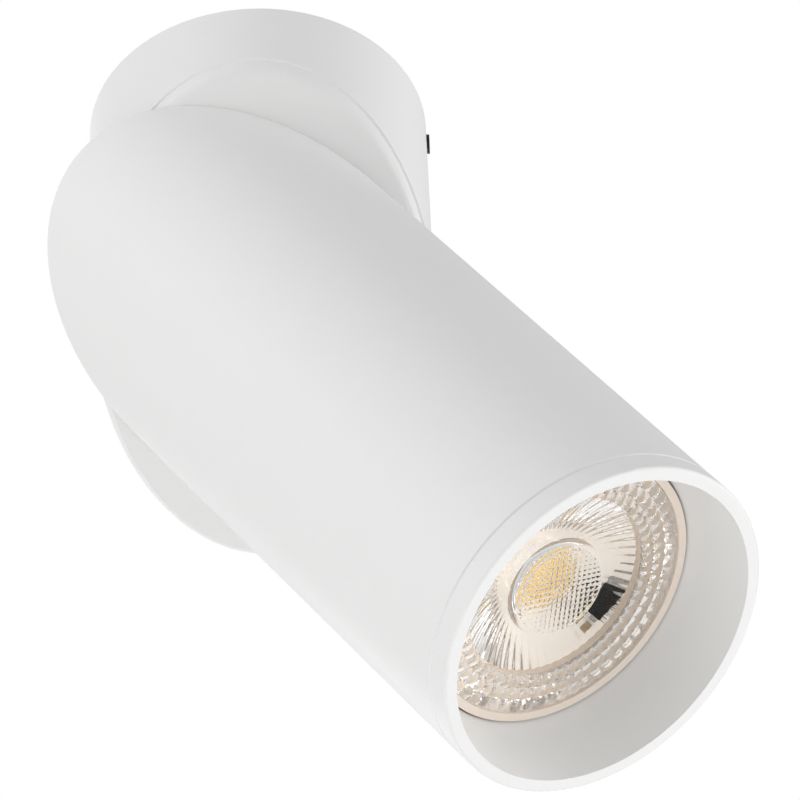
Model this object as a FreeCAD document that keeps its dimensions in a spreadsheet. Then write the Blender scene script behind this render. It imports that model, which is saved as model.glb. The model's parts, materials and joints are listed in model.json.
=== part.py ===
# Surface-mounted ceiling spotlight. A short base cylinder stands on the ceiling and carries a lamp
# tube. Both are cut at 45 degrees and turn on each other at the cut, so that a half turn takes the
# tube from straight down to level. Millimetres, +Z up, origin at the centre of the ceiling plane,
# the base's short side towards -Y, the tube turned as it is shown.
import FreeCAD, Part
import Sketcher
import math
import os
import re

Vector = FreeCAD.Vector

# Every size that can be set by itself, once: its word, its value and what it measures.
SIZES = [
    # Replaceable lamp, which the light is built round
    ("lamp_radius", 24.85, "radius of the lamp's rim"),
    ("lamp_length", 46.5, "lens face to the underside of the lamp's cap"),
    ("rim_wall", 1.4, "width of the shell's rim round the lens"),
    ("rim_proud", 0.85, "shell's rim in front of the lens face"),
    ("rim_height", 3.0, "straight part of the shell's rim"),
    ("shoulder_depth", 5.5, "lens face to the foot of the shoulder"),
    ("shoulder_inset", 0.85, "how far the shoulder draws in"),
    ("shell_length", 33.0, "lens face to the end of the shell"),
    ("shell_end_radius", 15.0, "radius of the shell's narrow end"),
    ("lamp_cap_radius", 12.2, "radius of the cap that carries the pins"),
    ("lamp_cap_bevel", 1.2, "bevel round the cap's underside"),
    ("pin_offset", 5.0, "lamp axis to each pin"),
    ("pin_shank_radius", 1.6, "pin's narrow shank"),
    ("pin_head_radius", 2.5, "pin's head"),
    ("pin_head_length", 2.6, "pin's head along its axis"),
    ("lens_fit", 0.1, "gap round the lens in the shell"),
    ("lens_seat_depth", 2.6, "lens face to the shelf that the lens sits on"),
    ("lens_shelf", 1.0, "width of that shelf"),
    ("lens_disc_radius", 8.0, "pillowed disc in the middle of the lens"),
    ("lens_disc_rise", 1.8, "that disc above the lens face"),
    ("lens_disc_draft", 0.3, "how much wider the disc is at its foot"),
    ("lens_trough_depth", 0.2, "clear ring round that disc"),
    ("lens_trough_radius", 16.6, "outer edge of the clear ring"),
    ("lens_band_drop", 0.45, "valleys of the faceted band below the lens face"),
    ("facet_height", 0.6, "points of the facets above their valleys"),
    ("facet_inset", 0.2, "facets inside the edges of their band"),
    ("facet_rings", 3, "rings of facets"),
    ("facet_count", 60, "pyramids in each ring"),
    ("lens_cone_depth", 9.6, "lens face to the small end of the collimating cone"),
    ("lens_cone_radius", 7.0, "small end of the collimating cone"),
    ("flute_depth", 0.3, "flutes at the large end of the cone"),
    ("flute_count", 60, "flutes round the cone"),
    ("lens_overlap", 0.5, "facets and cone sunk into the plate of the lens"),
    ("lens_well_radius", 5.7, "well over the light source"),
    ("lens_well_depth", 4.0, "depth of the well's wall"),
    ("lens_well_crown", 0.6, "rise of the well's roof to the axis"),
    ("board_depth", 11.0, "lens face to the front of the circuit board"),
    ("board_thick", 1.2, "circuit board"),
    ("board_inset", 4.55, "lamp's rim to the edge of the circuit board"),
    ("board_fit", 0.3, "gap round the circuit board"),
    ("seat_height", 4.1, "board's raised seat for the light source"),
    ("led_radius", 5.4, "light-emitting disc"),
    ("led_height", 0.9, "light-emitting disc above its seat"),
    ("chip_long", 6.4, "driver chip along X"),
    ("chip_wide", 5.0, "driver chip along Y"),
    ("chip_height", 1.6, "driver chip above the board"),
    ("chip_across", 4.0, "driver chip's centre along X"),
    ("chip_edge", 2.6, "driver chip to the edge of the circuit board"),
    ("resistor_long", 3.2, "small resistor"),
    ("resistor_wide", 1.6, "small resistor"),
    ("resistor_height", 0.6, "small resistor"),
    ("resistor_gap", 1.0, "driver chip to the resistors beside it"),
    ("resistor_pitch", 2.5, "resistors, centre to centre"),
    # Lamp tube and front ring
    ("mouth_gap", 0.3, "gap between the lamp's rim and the ring"),
    ("neck_wall", 2.75, "wall of the ring's neck at its end"),
    ("neck_fit", 0.1, "gap between the ring's neck and the tube"),
    ("neck_length", 10.3, "ring's neck inside the tube"),
    ("tube_wall", 2.0, "wall of the lamp tube"),
    ("tube_length", 103.5, "centre of the cut to the tube's open end"),
    ("tube_end_wall", 3.0, "oblique end wall of the tube"),
    ("cut_edge", 0.35, "edge break along the oblique cut"),
    ("seam_bevel", 0.25, "bevel on both sides of the seam"),
    ("ring_face", 4.4, "front ring beyond the tube"),
    ("lip_round", 0.5, "round on the ring's outer front edge"),
    ("lip_width", 1.8, "flat front of the ring's lip"),
    ("cone_depth", 14.4, "front of the ring to the small end of its cone"),
    ("lens_recess", 14.5, "front of the ring to the lens face"),
    ("seal_section", 1.0, "diameter of the seal's section"),
    ("seal_fit", 0.05, "gap round the seal"),
    ("seal_set_back", 6.0, "seam to the seal's groove"),
    ("post_offset", 20.5, "tube axis to each post"),
    ("post_radius", 3.6, "posts that carry the lampholder's bridge"),
    ("rib_thick", 2.0, "ribs between the posts and the tube"),
    ("rib_drop", 4.0, "post top to the rib's top"),
    # Lampholder
    ("lamp_gap", 0.3, "lamp's cap to the lampholder"),
    ("holder_radius", 13.8, "lampholder"),
    ("holder_cap_thick", 3.2, "slotted front of the lampholder"),
    ("holder_height", 13.8, "body of the lampholder behind its front"),
    ("holder_edge", 0.8, "bevel round the lampholder"),
    ("pin_room", 0.3, "gap round the pins in the lampholder"),
    ("lamp_turn_angle", 45.0, "turn that locks the lamp, degrees"),
    ("contact_thick", 0.6, "contact blades"),
    ("contact_gap", 0.1, "pin head to contact blade"),
    ("contact_inset", 0.5, "contact blade inside its cavity"),
    ("stem_radius", 1.0, "contact stems"),
    ("stem_reach", 2.5, "contact stems beyond the lampholder"),
    ("bridge_thick", 1.2, "lampholder's bridge"),
    ("bridge_width", 20.0, "lampholder's bridge"),
    ("bridge_end", 4.0, "post centre to the bridge's end"),
    ("bridge_window", 8.0, "radius of the bridge's window for the leads"),
    ("holder_screw_offset", 10.8, "tube axis to the lampholder's screws"),
    ("holder_screw_length", 8.0, "lampholder's screws inside the lampholder"),
    ("bridge_screw_length", 6.0, "bridge's screws inside the posts"),
    ("screw_radius", 1.45, "small screws"),
    ("screw_head_radius", 2.7, "small screws' heads"),
    ("screw_head_height", 1.8, "small screws' heads"),
    ("screw_fit", 0.1, "gap round the small screws"),
    # Swivel
    ("cut_angle", 45.0, "angle of the cut, degrees"),
    ("head_angle", 45.0, "tube's turn from straight down, degrees"),
    ("swivel_half_range", 170.0, "turn each way from straight down, degrees"),
    ("running_gap", 0.1, "gap between faces that turn on each other"),
    ("plate_thick", 2.0, "swivel plate"),
    ("plate_inset", 0.35, "swivel plate inside the base's edge"),
    ("plate_round", 1.0, "round on the swivel plate's edge"),
    ("plate_screw_circle", 23.0, "pivot to each plate screw"),
    ("plate_screw_length", 5.5, "plate screws, head included"),
    ("nipple_radius", 5.0, "hollow pivot"),
    ("nipple_bore", 3.2, "hollow pivot's bore"),
    ("nipple_proud", 1.5, "hollow pivot beyond its nuts"),
    ("pivot_fit", 0.06, "running fit round the pivot"),
    ("thread_fit", 0.05, "gap between the pivot and its nuts"),
    ("washer_fit", 0.2, "gap between the pivot and its washers"),
    ("washer_radius", 9.0, "steel washers"),
    ("washer_thick", 1.0, "steel washers"),
    ("slip_radius", 11.0, "slip washer"),
    ("slip_thick", 0.8, "slip washer"),
    ("spring_radius", 10.0, "disc spring"),
    ("spring_thick", 0.6, "disc spring"),
    ("spring_height", 1.3, "disc spring as it is clamped"),
    ("nut_flats", 14.0, "nut across its flats"),
    ("nut_height", 4.0, "nuts"),
    ("stop_circle", 16.0, "pivot to the stop pin"),
    ("stop_radius", 1.25, "stop pin"),
    ("stop_reach", 1.4, "stop pin inside the tube's end wall"),
    ("stop_room", 0.25, "gap between the stop pin and its groove"),
    ("stop_groove_depth", 1.8, "groove in the tube's end wall"),
    ("sleeve_radius", 2.6, "heat-proof sleeve"),
    ("sleeve_bore", 2.1, "heat-proof sleeve"),
    ("sleeve_tail", 4.0, "sleeve beyond the hollow pivot"),
    ("lead_radius", 0.8, "insulated leads"),
    ("lead_apart", 1.1, "pivot axis to each lead in the sleeve"),
    ("lead_straight", 4.0, "straight run of a lead before its bend"),
    ("sleeve_straight", 3.0, "straight run of the lamp's leads past their sleeve"),
    ("lead_rise", 4.4, "next bend of the lamp's leads along the tube"),
    ("lead_shift", 0.4, "next bend of the lamp's leads across the tube"),
    # Base
    ("base_drop", 43.4, "ceiling to the centre of the base's oblique edge"),
    ("base_wall", 2.0, "wall of the base"),
    ("base_end_wall", 3.0, "oblique end wall of the base"),
    ("base_rim_edge", 0.4, "edge break round the base's rim"),
    ("grub_drop", 4.35, "ceiling to the side screws"),
    ("grub_radius", 1.75, "side screws"),
    ("grub_length", 6.0, "side screws"),
    ("grub_proud", 0.5, "side screws beyond the base"),
    ("grub_fit", 0.2, "gap round the side screws in the base"),
    ("grub_thread_fit", 0.05, "gap round the side screws in the bracket"),
    ("grub_socket_flats", 2.0, "hexagon socket across its flats"),
    ("grub_socket_depth", 1.8, "hexagon socket"),
    ("earth_boss_radius", 3.6, "earth boss on the base's wall"),
    ("earth_boss_reach", 6.0, "earth boss inside the base"),
    ("earth_drop", 40.0, "ceiling to the earth boss"),
    ("earth_screw_length", 4.5, "earth screw inside its boss"),
    ("tag_thick", 0.8, "earth tag"),
    ("tag_radius", 3.2, "earth tag's eye"),
    ("tag_neck", 1.5, "earth tag between its eye and its barrel"),
    ("tag_barrel_radius", 1.3, "earth tag's barrel"),
    ("tag_barrel_length", 4.0, "earth tag's barrel"),
    ("earth_straight", 2.5, "straight run of the earth lead at each end"),
    # Ceiling bracket and terminals
    ("bracket_thick", 1.5, "bracket's steel"),
    ("bracket_width", 22.0, "bracket's strip"),
    ("bracket_gap", 0.3, "bracket's tabs to the base's wall"),
    ("bend_inside", 0.6, "inner radius of the bracket's bends"),
    ("tab_width", 10.0, "bracket's tabs"),
    ("tab_drop", 9.0, "bracket's tabs below the ceiling"),
    ("slot_spacing", 34.0, "fixing slots, centre to centre"),
    ("slot_radius", 2.25, "half the width of the fixing slots"),
    ("slot_length", 11.0, "fixing slots from end to end"),
    ("grommet_radius", 5.9, "grommet's barrel"),
    ("grommet_fit", 0.1, "gap round the grommet"),
    ("grommet_bore", 4.0, "cable hole through the grommet"),
    ("grommet_flange", 8.0, "radius of the grommet's flange"),
    ("grommet_flange_thick", 1.2, "grommet's flange"),
    ("lug_width", 16.0, "bracket's lug for the terminals"),
    ("lug_offset", 20.5, "base axis to the lug's far face"),
    ("lug_drop", 26.0, "bracket's lug below the ceiling"),
    ("pole_pitch", 8.0, "terminal block, pole to pole"),
    ("block_thick", 11.0, "terminal block off the lug"),
    ("block_height", 16.0, "terminal block along its wires"),
    ("block_drop", 8.0, "ceiling to the terminal block"),
    ("block_groove", 1.4, "grooves between the poles"),
    ("block_groove_depth", 3.0, "grooves between the poles"),
    ("clamp_radius", 2.3, "terminal sleeves"),
    ("clamp_bore", 1.4, "terminal sleeves' bore"),
    ("clamp_inset", 1.0, "terminal sleeves inside the block"),
    ("clamp_fit", 0.1, "gap round the terminal sleeves and screws"),
    ("clamp_screw_radius", 1.3, "terminal screws"),
    ("clamp_screw_sink", 0.8, "terminal screws below the block's face"),
    ("lead_insertion", 3.0, "leads inside the terminal block"),
    # Making
    ("overcut", 1.0, "reach of a cutting tool past what it cuts"),
]

# Lengths that follow from the sizes above.
DERIVED = {
    "mouth_radius": "lamp_radius + mouth_gap",
    "neck_radius": "mouth_radius + neck_wall",
    "tube_bore": "neck_radius + neck_fit",
    "tube_radius": "tube_bore + tube_wall",
    "base_bore": "tube_radius - base_wall",
    "lip_radius": "tube_radius - lip_round - lip_width",
    "front": "tube_length + ring_face",
    "lens_face": "front - lens_recess",
    "cap_underside": "lens_face - lamp_length",
    "holder_front": "cap_underside - lamp_gap",
    "holder_split": "holder_front - holder_cap_thick",
    "holder_back": "holder_split - holder_height",
    "post_top": "holder_back - bridge_thick",
    "pin_shank_length": "lamp_gap + holder_cap_thick + pin_room",
    "pin_end": "cap_underside - pin_shank_length - pin_head_length",
    "contact_top": "pin_end - contact_gap",
    "cavity_floor": "contact_top - contact_thick",
    "lens_radius": "lamp_radius - rim_wall - lens_fit",
    "rim_front": "lens_face + rim_proud",
    "board_face": "lens_face - board_depth",
    "board_radius": "lamp_radius - board_inset",
    "chip_down": "board_radius - chip_edge - chip_wide / 2",
    "cut_reach": "tube_radius * tan(cut_angle)",
    "pivot_drop": "base_drop + (plate_thick + running_gap) / cos(cut_angle)",
    "ledge": "-running_gap - plate_thick",
    "base_inside": "ledge - base_end_wall",
    "base_nut_end": "base_inside - washer_thick - nut_height",
    "nipple_top": "base_nut_end - nipple_proud",
    "slip_face": "tube_end_wall + running_gap",
    "spring_face": "slip_face + slip_thick",
    "head_washer_face": "spring_face + spring_height",
    "head_nut_face": "head_washer_face + washer_thick",
    "nipple_bottom": "head_nut_face + nut_height + nipple_proud",
    "pivot_hole": "nipple_radius + pivot_fit",
    "washer_hole": "nipple_radius + washer_fit",
    "bracket_reach": "base_bore - bracket_gap",
    "tab_outside": "sqrt(bracket_reach ^ 2 - (tab_width / 2) ^ 2)",
    "tab_inside": "tab_outside - bracket_thick",
    "lug_inside": "lug_offset - bracket_thick",
    "bend_outside": "bend_inside + bracket_thick",
    "block_face": "lug_inside - block_thick",
    "wire_line": "lug_inside - block_thick / 2",
    "block_bottom": "block_drop + block_height",
    "earth_face": "base_bore - earth_boss_reach",
    "tag_reach": "tag_radius + tag_neck",
}

# A mirrored pair: the sign that goes before a formula on each side.
SIDES = ("-", "")
# Two lengths nearer than this, in millimetres, count as the same.
NEAR = 0.01
# How much of the shorter run a lead's bend takes up at each of its ends.
BEND_SHARE = 0.45
# The lens's cone rises by this power of its share of the radius, in this many straight steps.
CONE_BOW = 1.6
CONE_STEPS = 3
# Straight steps round the edge of the swivel plate.
ROUND_STEPS = 3

doc = FreeCAD.newDocument("spotlight")
sheet = doc.addObject("Spreadsheet::Sheet", "Sizes")
for row, (alias, number, meaning) in enumerate(SIZES, 1):
    sheet.set(f"A{row}", meaning)
    sheet.set(f"B{row}", str(number))
    sheet.setAlias(f"B{row}", alias)
doc.recompute()
CELLS = {alias for alias, number, meaning in SIZES}


def formula(text):
    """Write out a formula in words: each size becomes its cell, each derived length its formula."""
    def write_out(match):
        word = match.group(0)
        if word in DERIVED:
            return "(" + formula(DERIVED[word]) + ")"
        return "Sizes." + word if word in CELLS else word
    return re.sub(r"[a-z_]+", write_out, text)


def value(text):
    """The number that a formula in words comes to."""
    return float(sheet.evalExpression(formula(text)))


def at(x="0", y="0", z="0", axis="0; 0; 1", angle="0"):
    """Placement formula: a point, and a turn about an axis through it."""
    return f"placement(vector({x}; {y}; {z}); rotation(vector({axis}); {angle}))"


# The pivot frame has its z along the swivel axis, from the base into the tube, and starts at the
# centre of the tube's cut. The head frame has its z along the tube towards its open end, and starts
# at the same point. The two frames below turn with the head.
HERE = at()
PIVOT = at(z="-pivot_drop", axis="1; 0; 0", angle="180 - cut_angle")
SWIVEL = at(z="-pivot_drop", axis="0; -sin(cut_angle); -cos(cut_angle)", angle="head_angle")
HEAD = SWIVEL + " * " + at(axis="1; 0; 0", angle="180")
CUT = at(axis="1; 0; 0", angle="-cut_angle")


def put(thing, place):
    """Bind an object's place to a placement formula."""
    thing.setExpression("Placement", formula(place))
    return thing


def bound(kind, name, place, **sizes):
    """A primitive with each size bound to a formula."""
    thing = doc.addObject(kind, name)
    for key, text in sizes.items():
        thing.setExpression(key, formula(text))
    return put(thing, place)


def cylinder(name, radius, height, place=HERE, angle="360"):
    return bound("Part::Cylinder", name, place, Radius=radius, Height=height, Angle=angle)


def cone(name, radius_low, radius_high, height, place=HERE):
    return bound("Part::Cone", name, place, Radius1=radius_low, Radius2=radius_high, Height=height)


def box(name, length, width, height, place=HERE):
    return bound("Part::Box", name, place, Length=length, Width=width, Height=height)


def block(name, low, high):
    """Box between two corners, each given as three formulas."""
    sides = [f"({far}) - ({near})" for near, far in zip(low, high)]
    return box(name, *sides, at(*low))


def hexagon(name, flats, height, place=HERE):
    prism = bound("Part::Prism", name, place, Circumradius=f"({flats}) / sqrt(3)", Height=height)
    prism.Polygon = 6
    return prism


def fuse(name, *shapes):
    union = doc.addObject("Part::MultiFuse", name)
    union.Shapes = list(shapes)
    return union


def cut(name, base, *tools):
    """Take one or more shapes away from another."""
    result = doc.addObject("Part::Cut", name)
    result.Base = base
    result.Tool = tools[0] if len(tools) == 1 else fuse(name + "_tools", *tools)
    return result


def break_edges(name, base, kind, wanted, size):
    """Chamfer or fillet the edges of a shape that the test picks."""
    doc.recompute()
    result = doc.addObject(kind, name)
    result.Base = base
    amount = value(size)
    picked = [i for i, edge in enumerate(base.Shape.Edges, 1) if wanted(edge)]
    if not picked:
        raise RuntimeError(name + " found no edge")
    result.Edges = [(i, amount, amount) for i in picked]
    return result


def origin_plane(body, role):
    return next(plane for plane in body.Origin.OriginFeatures if plane.Role == role)


def outline(body, name, role, corners):
    """Closed sketch of straight runs, each corner held by a formula for each coordinate."""
    sketch = body.newObject("Sketcher::SketchObject", name)
    sketch.AttachmentSupport = [(origin_plane(body, role), "")]
    sketch.MapMode = "FlatFace"
    points = [Vector(value(across), value(along), 0) for across, along in corners]
    for start, end in zip(points, points[1:] + points[:1]):
        sketch.addGeometry(Part.LineSegment(start, end), False)
    for i in range(len(points)):
        sketch.addConstraint(Sketcher.Constraint("Coincident", i, 2, (i + 1) % len(points), 1))
    for i, (corner, point) in enumerate(zip(corners, points)):
        for kind, text, number in zip(("DistanceX", "DistanceY"), corner, point):
            if text == "0":
                axis_line = -2 if kind == "DistanceX" else -1
                sketch.addConstraint(Sketcher.Constraint("PointOnObject", i, 1, axis_line))
                continue
            held = sketch.addConstraint(Sketcher.Constraint(kind, i, 1, number))
            sketch.setExpression(f"Constraints[{held}]", formula(text))
    return sketch


def turned(name, corners, place=HERE):
    """Piece turned about its own z from a closed outline of radius and height."""
    body = doc.addObject("PartDesign::Body", name)
    sketch = outline(body, name + "_outline", "XZ_Plane", corners)
    revolution = body.newObject("PartDesign::Revolution", name + "_turned")
    revolution.Profile = sketch
    revolution.ReferenceAxis = (sketch, ["V_Axis"])
    revolution.Angle = 360
    return put(body, place)


def pierced_disc(name, radius, bore, low, height, place):
    """Flat ring, such as a washer."""
    high = f"{low} + {height}"
    return turned(name, [(bore, low), (radius, low), (radius, high), (bore, high)], place)


def arc_slot(name, circle, half_width, sweep, height, place):
    """Solid of a slot that runs round part of a circle and has round ends."""
    ring = cut(
        name + "_ring",
        cylinder(name + "_outside", f"{circle} + {half_width}", height, angle=sweep),
        cylinder(name + "_inside", f"{circle} - ({half_width})", height),
    )
    start = cylinder(name + "_start", half_width, height, at(circle))
    finish_x = f"{circle} * cos({sweep})"
    finish_y = f"{circle} * sin({sweep})"
    finish = cylinder(name + "_finish", half_width, height, at(finish_x, finish_y))
    return put(fuse(name, ring, start, finish), place)


def half_space(name, frame, low):
    """Block far larger than the light: in a frame, all that lies above a height."""
    room = "6 * tube_radius"
    return box(name, room, room, room, frame + " * " + at(f"-{room} / 2", f"-{room} / 2", low))


def behind_cut(name, distance):
    """In the head frame, all that lies on the base's side of a plane parallel to the cut."""
    return half_space(name, CUT, f"{distance} - 6 * tube_radius")


def screw(name, place, length, head_height="screw_head_height", head_radius="screw_head_radius"):
    """Plain screw along its own z: its head above z = 0, its shank below."""
    corners = [
        ("0", f"-({length})"),
        ("screw_radius", f"-({length})"),
        ("screw_radius", "0"),
        (head_radius, "0"),
        (head_radius, head_height),
        ("0", head_height),
    ]
    return turned(name, corners, place)


def group(name, pieces):
    """Identical pieces as one sub-part of separate solids."""
    compound = doc.addObject("Part::Compound", name)
    compound.Links = pieces
    return compound


def lead(name, points, place):
    """Insulated lead along straight runs joined by tangent arcs, each as large as its runs allow."""
    radius = value("lead_radius")
    edges = []
    start = points[0]
    for before, corner, after in zip(points, points[1:], points[2:]):
        inward = (before - corner).normalize()
        outward = (after - corner).normalize()
        turn = math.pi - inward.getAngle(outward)
        reach = BEND_SHARE * min(before.distanceToPoint(corner), after.distanceToPoint(corner))
        bend = reach / math.tan(turn / 2)
        first = corner + inward * reach
        last = corner + outward * reach
        middle_way = (inward + outward).normalize()
        middle = corner + middle_way * (math.hypot(bend, reach) - bend)
        edges.append(Part.LineSegment(start, first).toShape())
        edges.append(Part.Arc(first, middle, last).toShape())
        start = last
    edges.append(Part.LineSegment(start, points[-1]).toShape())
    path = Part.Wire(edges)
    section = Part.Wire(Part.makeCircle(radius, points[0], points[1] - points[0]))
    piece = doc.addObject("Part::Feature", name)
    piece.Shape = path.makePipeShell([section], True, False)
    wanted = math.pi * radius ** 2 * path.Length
    if abs(piece.Shape.Volume - wanted) > NEAR * wanted:
        raise RuntimeError(name + " has the wrong volume")
    piece.Placement = sheet.evalExpression(formula(place))
    return piece


# Base housing: a cylinder open to the ceiling, closed below by an oblique end wall.
def make_base_housing():
    depth = "base_drop + cut_reach + overcut"
    outside = cylinder("base_outside", "tube_radius", depth, at(z=f"-({depth})"))
    stem = cut("base_stem", outside, half_space("base_below", PIVOT, "ledge"))
    inside = cylinder("base_inside_space", "base_bore", f"{depth} + overcut", at(z=f"-({depth})"))
    hollow = cut("base_hollow", inside, half_space("base_wall_below", PIVOT, "base_inside"))
    shell = cut("base_shell", stem, hollow)
    earth_place = at("0", "earth_face", "-earth_drop", "1; 0; 0", "-90")
    boss = cylinder("earth_boss", "earth_boss_radius", "earth_boss_reach + base_wall / 2", earth_place)
    with_boss = fuse("base_with_boss", shell, boss)
    across = at("-2 * tube_radius", "0", "-grub_drop", "0; 1; 0", "90")
    wall_length = "4 * base_end_wall"
    wall_low = "ledge - 2 * base_end_wall"
    holes = [
        cylinder("base_pivot_hole", "pivot_hole", wall_length, PIVOT + " * " + at(z=wall_low)),
        cylinder("grub_holes", "grub_radius + grub_fit", "4 * tube_radius", across),
        cylinder("earth_hole", "screw_radius + screw_fit", "earth_screw_length + overcut", earth_place),
    ]
    for i, spot in enumerate(plate_screw_spots()):
        place = PIVOT + " * " + at(*spot, wall_low)
        holes.append(cylinder(f"plate_thread_{i}", "screw_radius + screw_fit", wall_length, place))
    drilled = cut("base_drilled", with_boss, *holes)
    radius = value("tube_radius")

    def on_rim(edge):
        bounds = edge.BoundBox
        return max(abs(bounds.ZMax), abs(bounds.ZMin)) < NEAR and bounds.XMax > radius - NEAR

    return break_edges("base_housing", drilled, "Part::Chamfer", on_rim, "base_rim_edge")


def plate_screw_spots():
    """Places of the plate's four screws in the pivot frame."""
    reach = "plate_screw_circle * sqrt(0.5)"
    return [(f"{x}{reach}", f"{y}{reach}") for x in SIDES for y in SIDES]


# Swivel plate: an elliptical disc with a round edge, on the base's oblique end.
def make_swivel_plate():
    def ellipse(name, distance, inset):
        """Section of the base's cylinder, drawn in a little."""
        place = at("0", f"-({distance}) * tan(cut_angle)", distance, angle="90")
        return bound("Part::Ellipse", name, place,
                     MajorRadius=f"tube_radius / cos(cut_angle) - ({inset})",
                     MinorRadius=f"tube_radius - ({inset})")

    sections = [ellipse("plate_foot", "ledge", "plate_inset")]
    for step in range(ROUND_STEPS + 1):
        turn = 90 * step / ROUND_STEPS
        sections.append(ellipse(f"plate_round_{step}",
                                f"-running_gap - plate_round * (1 - sin({turn}))",
                                f"plate_inset + plate_round * (1 - cos({turn}))"))
    disc = doc.addObject("Part::Loft", "plate_disc")
    disc.Sections = sections
    disc.Solid = True
    disc.Ruled = True
    through = "3 * plate_thick"
    low = "ledge - plate_thick"
    narrow = "screw_radius + screw_fit"
    wide = "screw_head_radius + screw_fit"
    sink = "screw_head_radius - screw_radius"
    holes = [
        cylinder("plate_pivot_hole", "pivot_hole", through, at(z=low)),
        cylinder("plate_stop_hole", "stop_radius + thread_fit", through, at("0", "stop_circle", low)),
    ]
    for i, spot in enumerate(plate_screw_spots()):
        holes.append(cylinder(f"plate_screw_hole_{i}", narrow, through, at(*spot, low)))
        holes.append(cone(f"plate_sink_{i}", narrow, wide, sink, at(*spot, f"-running_gap - ({sink})")))
    return put(cut("swivel_plate", disc, *holes), PIVOT)


def make_plate_screws():
    corners = [
        ("0", "-plate_screw_length"),
        ("screw_radius", "-plate_screw_length"),
        ("screw_radius", "-(screw_head_radius - screw_radius)"),
        ("screw_head_radius", "0"),
        ("0", "0"),
    ]
    places = [PIVOT + " * " + at(*spot, "-running_gap") for spot in plate_screw_spots()]
    return group("swivel_plate_screws",
                 [turned(f"plate_screw_{i}", corners, place) for i, place in enumerate(places)])


# Pivot stack: a hollow threaded pivot clamps the head to the base through a disc spring.
def make_pivot_stack():
    nipple = pierced_disc("pivot_nipple", "nipple_radius", "nipple_bore", "nipple_top",
                          "nipple_bottom - nipple_top", PIVOT)
    base_washer = pierced_disc("base_washer", "washer_radius", "washer_hole",
                               "base_inside - washer_thick", "washer_thick", PIVOT)
    slip_washer = pierced_disc("slip_washer", "slip_radius", "washer_hole",
                               "slip_face", "slip_thick", PIVOT)
    rise = "spring_height - spring_thick"
    spring = turned("disc_spring", [
        ("washer_hole", f"spring_face + {rise}"),
        ("spring_radius", "spring_face"),
        ("spring_radius", "spring_face + spring_thick"),
        ("washer_hole", "spring_face + spring_height"),
    ], PIVOT)
    head_washer = pierced_disc("head_washer", "washer_radius", "washer_hole",
                               "head_washer_face", "washer_thick", PIVOT)
    nuts = []
    for name, low in (("base_nut", "base_nut_end"), ("head_nut", "head_nut_face")):
        blank = hexagon(name + "_hexagon", "nut_flats", "nut_height", at(z=low))
        hole_place = at(z=f"{low} - nut_height")
        hole = cylinder(name + "_hole", "nipple_radius + thread_fit", "3 * nut_height", hole_place)
        nuts.append(put(cut(name, blank, hole), PIVOT))
    stop_place = PIVOT + " * " + at("0", "stop_circle", "ledge")
    stop = cylinder("stop_pin", "stop_radius", "stop_reach - ledge", stop_place)
    return [nipple, base_washer, slip_washer, spring, head_washer, stop] + nuts


# Heat-proof sleeve, in two halves that meet on the swivel axis where the leads twist.
def make_sleeves():
    base_half = pierced_disc("base_lead_sleeve", "sleeve_radius", "sleeve_bore", "nipple_top - sleeve_tail",
                             "sleeve_tail - nipple_top", PIVOT)
    head_half = pierced_disc("lamp_lead_sleeve", "sleeve_radius", "sleeve_bore", "0",
                             "nipple_bottom + sleeve_tail", HEAD + " * " + CUT)
    return [base_half, head_half]


# Lamp tube: open at the front, closed by an oblique end wall, with two posts and ribs inside.
def make_lamp_tube():
    low = "-cut_reach - overcut"
    length = f"tube_length - ({low})"
    outside = cylinder("tube_outside", "tube_radius", length, at(z=low))
    stem = cut("tube_stem", outside, behind_cut("tube_cut", "0"))
    inside = cylinder("tube_inside", "tube_bore", f"{length} + overcut", at(z=low))
    hollow = cut("tube_hollow", inside, behind_cut("tube_wall_cut", "tube_end_wall"))
    shell = cut("tube_shell", stem, hollow)
    supports = []
    into_wall = "tube_bore + tube_wall / 2"
    for side, rib_start in zip(SIDES, (f"-({into_wall})", "post_offset")):
        post_place = at(f"{side}post_offset", "0", low)
        supports.append(cylinder(f"post{side}", "post_radius", f"post_top - ({low})", post_place))
        rib_place = at(rib_start, "-rib_thick / 2", low)
        rib_height = f"post_top - rib_drop - ({low})"
        supports.append(box(f"rib{side}", f"{into_wall} - post_offset", "rib_thick", rib_height, rib_place))
    posts = fuse("tube_posts", *supports)
    seated = cut("tube_supports", posts, behind_cut("support_cut", "tube_end_wall / 2"))
    body = fuse("tube_with_posts", shell, seated)
    hole_place = CUT + " * " + at(z="-tube_end_wall")
    groove_place = CUT + " * " + at(angle="90 - swivel_half_range")
    holes = [
        cylinder("tube_pivot_hole", "pivot_hole", "4 * tube_end_wall", hole_place),
        arc_slot("stop_groove", "stop_circle", "stop_radius + stop_room", "2 * swivel_half_range",
                 "stop_groove_depth", groove_place),
    ]
    hole_radius = "screw_radius + screw_fit"
    for side in SIDES:
        place = at(f"{side}post_offset", "0", "post_top - bridge_screw_length - screw_fit")
        holes.append(cylinder(f"post_hole{side}", hole_radius, "2 * bridge_screw_length", place))
    drilled = cut("tube_drilled", body, *holes)
    radius = value("tube_radius")
    seam = value("tube_length") - NEAR

    def outermost(edge):
        return edge.BoundBox.XMax > radius - NEAR and edge.BoundBox.XMin < NEAR - radius

    def on_seam(edge):
        return outermost(edge) and edge.BoundBox.ZMin > seam

    def on_cut(edge):
        return outermost(edge) and edge.BoundBox.ZMax < seam - value("seam_bevel") - NEAR

    bevelled = break_edges("tube_seam_edge", drilled, "Part::Chamfer", on_seam, "seam_bevel")
    return put(break_edges("lamp_tube", bevelled, "Part::Chamfer", on_cut, "cut_edge"), HEAD)


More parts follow.
